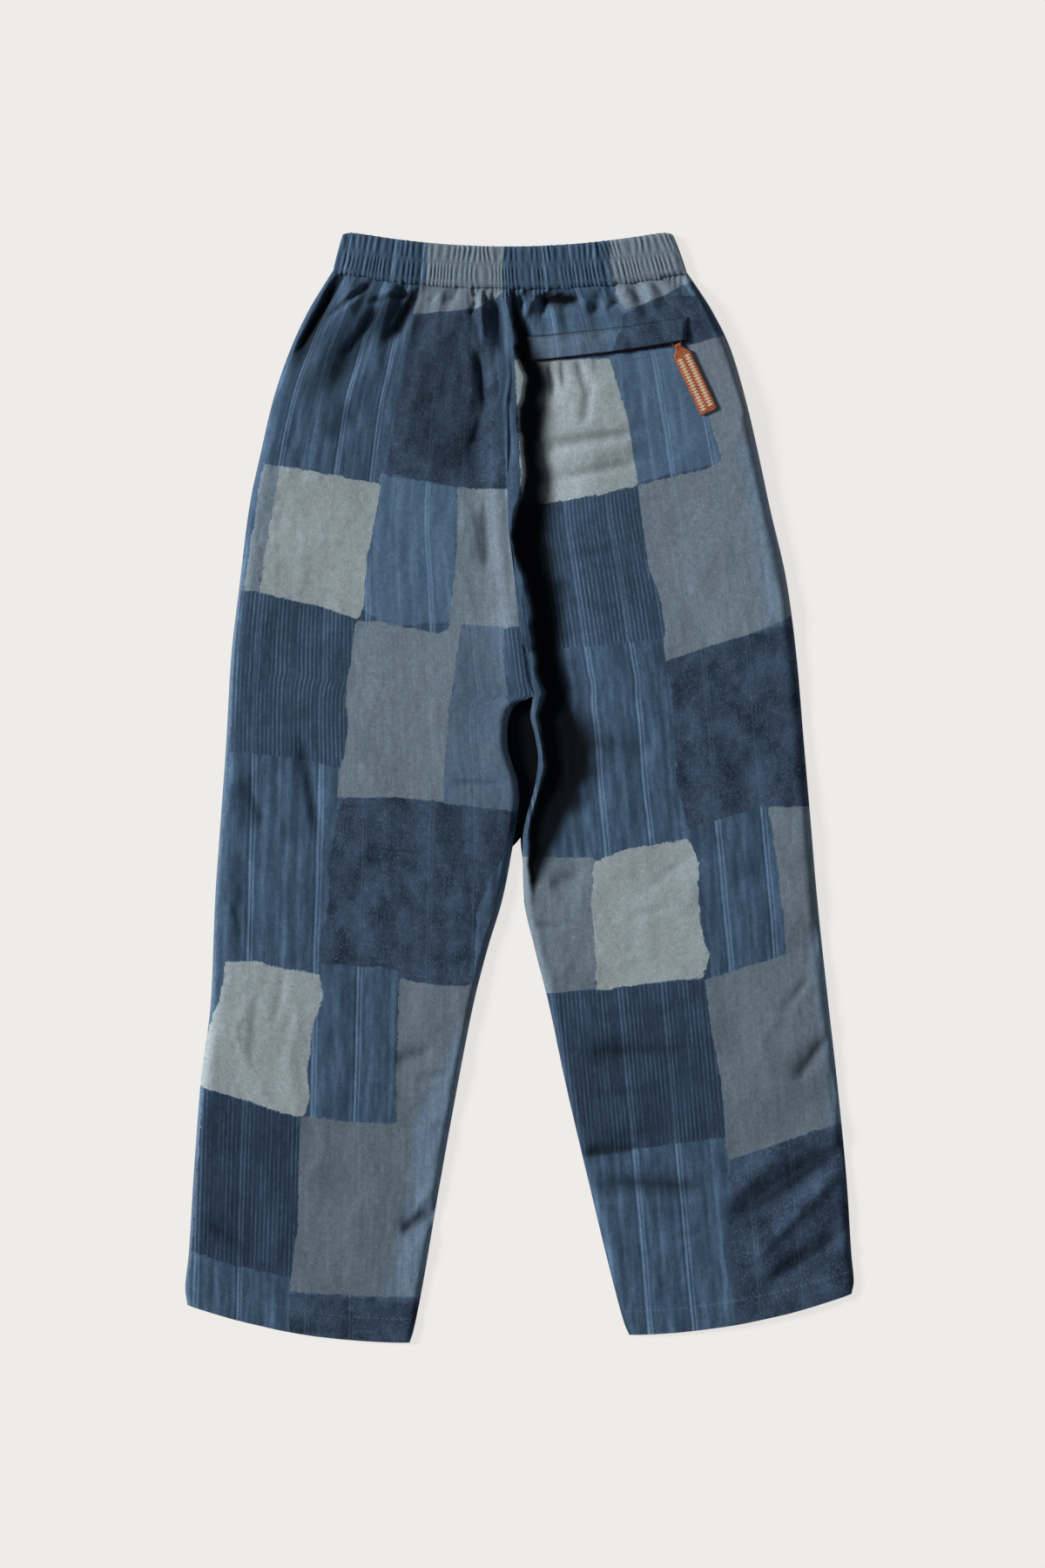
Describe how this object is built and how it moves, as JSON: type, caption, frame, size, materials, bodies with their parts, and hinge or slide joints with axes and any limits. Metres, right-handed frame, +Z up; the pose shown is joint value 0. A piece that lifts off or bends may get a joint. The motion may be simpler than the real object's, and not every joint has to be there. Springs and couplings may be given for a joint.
{
  "type": "patchwork trousers",
  "caption": "Loose trousers of patched woven cloth with an elasticated waist and a zipped back pocket, lying flat with the back up.",
  "frame": {"origin": "centre of the bounding box on the surface that the garment lies on", "axes": "+Y towards the waist, +X towards the wearer's right side, +Z up, out of the garment's back"},
  "size_m": [0.6014, 0.999, 0.0198],
  "materials": {
    "blue_cloth": "matte woven cotton",
    "band_cloth": "matte woven cotton, gathered",
    "brown_leather": "satin",
    "zip_tape": "matte",
    "dark_metal": "darkened, satin"
  },
  "bodies": {
    "garment": {"back_left": "blue_cloth", "back_right": "blue_cloth", "front_left": "blue_cloth", "front_right": "blue_cloth", "waistband_back": "band_cloth", "waistband_front": "band_cloth", "pocket_welt": "blue_cloth", "zip_tape": "zip_tape", "zip_slider": "dark_metal"},
    "pull": {"leather_pull": "brown_leather"}
  },
  "joints": [
    {"name": "pull_lift", "type": "hinge", "parent": "garment", "child": "pull", "pos_m": [0.142, 0.39686, 0.0151], "axis": [-0.9033, -0.4289, 0], "range_deg": [0, 122]}
  ]
}
